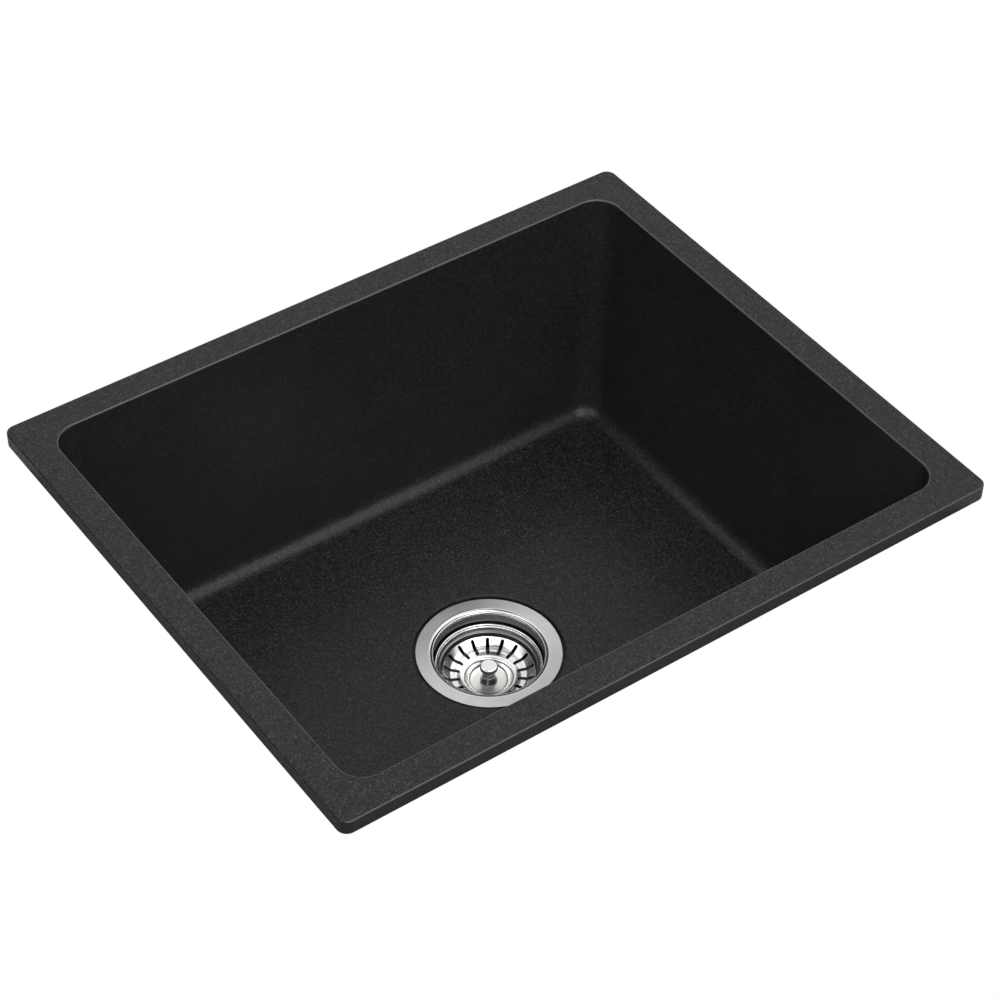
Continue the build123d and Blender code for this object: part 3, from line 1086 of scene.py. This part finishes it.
@dataclass
class Worktop:
    """The pale board that the rim rests on, with a cut-out for the bowl.

    It stands out on the left and in front, is cut off aslant at both ends, and ends under the rim elsewhere.
    """

    left: float = -335.0
    left_end: float = 15.0
    front: float = -325.0
    front_end: float = 125.0
    under_rim_x: float = 269.0
    under_rim_y: float = 219.0
    cut_half_length: float = 265.0
    cut_half_depth: float = 215.0
    board_inset: float = 8.0
    board_thickness: float = 4.0
    board_colour: str = "#909090"
    board_roughness: float = 0.9
    sheet_top: float = -0.05
    sheet_thickness: float = 0.3
    crease_angle: float = 30.0

    def build(self) -> None:
        """Make the bright top sheet and the grey board under it."""
        sheet = self.plate("worktop_sheet", 0.0, self.sheet_top, self.sheet_thickness)
        sheet.data.materials.append(self.bright())
        sheet.visible_diffuse = False
        sheet.visible_glossy = False
        sheet.visible_shadow = False
        board_top = self.sheet_top - 2 * self.sheet_thickness
        board = self.plate("worktop_board", self.board_inset, board_top, self.board_thickness)
        board.data.materials.append(self.matte())

    def plate(self, name: str, inset: float, top: float, thickness: float) -> bpy.types.Object:
        """Make a plate with a rectangular hole.

        Args:
            name: The object's name.
            inset: How far the left and front edges stand in.
            top: Height of the upper face.
            thickness: Thickness of the plate.

        Returns:
            The plate, at the origin.
        """
        outline = [
            (self.left + inset, self.front + inset),
            (self.front_end - inset, self.front + inset),
            (self.under_rim_x, -self.under_rim_y),
            (self.under_rim_x, self.under_rim_y),
            (-self.under_rim_x, self.under_rim_y),
            (self.left + inset, self.left_end - inset),
        ]
        cut_x, cut_y = self.cut_half_length, self.cut_half_depth
        # As many points as the outline has, so that the two loops bridge one to one
        cut_out = [
            (-cut_x, -cut_y),
            (0.0, -cut_y),
            (cut_x, -cut_y),
            (cut_x, cut_y),
            (-cut_x, cut_y),
            (-cut_x, 0.0),
        ]
        mesh = bmesh.new()
        loops = []
        for corners in (outline, cut_out):
            verts = [mesh.verts.new((x * MM, y * MM, top * MM)) for x, y in corners]
            loops += [mesh.edges.new((verts[i - 1], verts[i])) for i in range(len(verts))]
        ring = bmesh.ops.bridge_loops(mesh, edges=loops)["faces"]
        bmesh.ops.solidify(mesh, geom=ring, thickness=thickness * MM)
        bmesh.ops.recalc_face_normals(mesh, faces=mesh.faces)
        # The thickness may have grown upwards
        if max(vert.co.z for vert in mesh.verts) > top * MM + MERGE_DISTANCE:
            bmesh.ops.translate(mesh, vec=(0.0, 0.0, -thickness * MM), verts=mesh.verts)
        return to_object(mesh, name, self.crease_angle)

    @staticmethod
    def bright() -> bpy.types.Material:
        """Make white paper that is as bright as the backdrop.

        Returns:
            The sheet's material.
        """
        material = bpy.data.materials.new("white_sheet")
        material.use_nodes = True
        tree = material.node_tree
        tree.nodes.clear()
        glow = add_node(tree, "Emission", {"Color": linear(WHITE), "Strength": 1.0})
        add_node(tree, "OutputMaterial", {"Surface": glow.outputs["Emission"]})
        return material

    def matte(self) -> bpy.types.Material:
        """Make pale grey painted board.

        Returns:
            The board's material.
        """
        material = bpy.data.materials.new("grey_board")
        material.use_nodes = True
        shader = material.node_tree.nodes["Principled BSDF"]
        shader.inputs["Base Color"].default_value = linear(self.board_colour)
        shader.inputs["Roughness"].default_value = self.board_roughness
        return material


@dataclass(frozen=True)
class Glow:
    """A soft-edged round patch of light on the studio's walls and ceiling, with its angles in degrees."""

    azimuth: float
    elevation: float
    radiance: float
    full_angle: float = 6.0
    dark_angle: float = 23.0

    def level(self, tree: Tree, way: Socket) -> Socket:
        """Add the patch to the world.

        Args:
            tree: The world's tree.
            way: The direction looked in.

        Returns:
            The patch's light in that direction.
        """
        turn, rise = math.radians(self.azimuth), math.radians(self.elevation)
        middle = (math.cos(turn) * math.cos(rise), math.sin(turn) * math.cos(rise), math.sin(rise))
        near = add_node(tree, "VectorMath", {0: way, 1: middle}, operation="DOT_PRODUCT").outputs["Value"]
        patch = add_node(
            tree,
            "MapRange",
            {
                "Value": near,
                "From Min": math.cos(math.radians(self.dark_angle)),
                "From Max": math.cos(math.radians(self.full_angle)),
                "To Max": self.radiance,
            },
            interpolation_type="SMOOTHSTEP",
        )
        return patch.outputs["Result"]


# Patches from the horizon upwards, with strengths that were fitted to the photograph's tones
MAIN_GLOWS = (
    Glow(30.0, 0.0, 1.15),
    Glow(60.0, 0.0, 2.03),
    Glow(15.0, 18.0, 0.16),
    Glow(45.0, 18.0, 0.33),
    Glow(75.0, 18.0, 0.71),
    Glow(315.0, 18.0, 0.17),
    Glow(180.0, 36.0, 1.99),
    Glow(210.0, 36.0, 1.06),
    Glow(240.0, 36.0, 0.79),
    Glow(270.0, 36.0, 3.45),
    Glow(300.0, 36.0, 1.14),
    Glow(20.0, 54.0, 1.29),
    Glow(60.0, 54.0, 0.79),
    Glow(100.0, 54.0, 0.73),
    Glow(140.0, 54.0, 1.18),
    Glow(180.0, 54.0, 0.53),
    Glow(220.0, 54.0, 0.81),
    Glow(260.0, 54.0, 2.36),
    Glow(340.0, 54.0, 1.41),
    Glow(216.0, 72.0, 0.19),
    Glow(288.0, 72.0, 1.55),
)
# A wide fill from straight below, then smaller patches that show up the pieces under the sink
LOW_GLOWS = (
    Glow(0.0, -90.0, 0.6, 30.0, 80.0),
    Glow(20.0, -28.0, 0.9, 6.0, 16.0),
    Glow(95.0, -28.0, 0.7, 6.0, 16.0),
    Glow(165.0, -28.0, 0.9, 6.0, 16.0),
    Glow(235.0, -28.0, 0.9, 6.0, 16.0),
    Glow(295.0, -28.0, 1.3, 6.0, 16.0),
    Glow(135.0, -4.0, 1.0, 3.0, 8.0),
    Glow(248.0, -4.0, 1.0, 3.0, 8.0),
    Glow(282.0, -4.0, 1.6, 3.0, 9.0),
    Glow(318.0, -4.0, 0.9, 2.0, 7.0),
)


@dataclass
class Studio:
    """A white-backed dark room that is lit by soft patches of light round the sink."""

    glows: tuple[Glow, ...] = MAIN_GLOWS + LOW_GLOWS

    def build(self) -> None:
        """Make the world."""
        scene = bpy.context.scene
        scene.view_settings.view_transform = "Standard"
        world = bpy.data.worlds.new("studio")
        world.use_nodes = True
        scene.world = world
        tree = world.node_tree
        tree.nodes.clear()
        way = add_node(tree, "TexCoord").outputs["Generated"]
        light: float | Socket = 0.0
        for glow in self.glows:
            total = add_node(tree, "Math", {0: glow.level(tree, way), 1: light}, operation="ADD")
            light = total.outputs["Value"]
        room = add_node(tree, "Background", {"Color": light})
        backdrop = add_node(tree, "Background", {"Color": linear(WHITE)})
        seen = add_node(tree, "LightPath").outputs["Is Camera Ray"]
        world_light = add_node(
            tree, "MixShader", {0: seen, 1: room.outputs["Background"], 2: backdrop.outputs["Background"]}
        )
        add_node(tree, "OutputWorld", {"Surface": world_light.outputs["Shader"]})


@dataclass
class PhotoCamera:
    """The photograph's viewpoint, in metres and degrees, with its lens and sensor in millimetres."""

    target: tuple[float, float, float] = (-0.00774, -0.02094, -0.01034)
    distance: float = 2.00893
    azimuth: float = -36.2106
    elevation: float = 43.8616
    roll: float = 1.0910
    lens: float = 100.608
    sensor: float = 36.0

    def build(self) -> None:
        """Add the camera and make it the scene's."""
        data = bpy.data.cameras.new("photo_camera")
        data.lens = self.lens
        data.sensor_width = self.sensor
        camera = bpy.data.objects.new("photo_camera", data)
        turn, rise = math.radians(self.azimuth), math.radians(self.elevation)
        back = Vector((math.sin(turn) * math.cos(rise), -math.cos(turn) * math.cos(rise), math.sin(rise)))
        aim = (-back).to_track_quat("-Z", "Y").to_matrix().to_4x4()
        lean = Matrix.Rotation(math.radians(self.roll), 4, "Z")
        camera.matrix_world = Matrix.Translation(Vector(self.target) + back * self.distance) @ aim @ lean
        bpy.context.scene.collection.objects.link(camera)
        bpy.context.scene.camera = camera


def main() -> None:
    """Build the camera, the stage and every sub-assembly."""
    PhotoCamera().build()
    Studio().build()
    Worktop().build()
    palette = Palette()
    for part in (Bowl(), Strainer(), ClampRings(), WasteOutlet(), Basket(), Stopper()):
        part.build(palette)


if __name__ == "__main__":
    main()
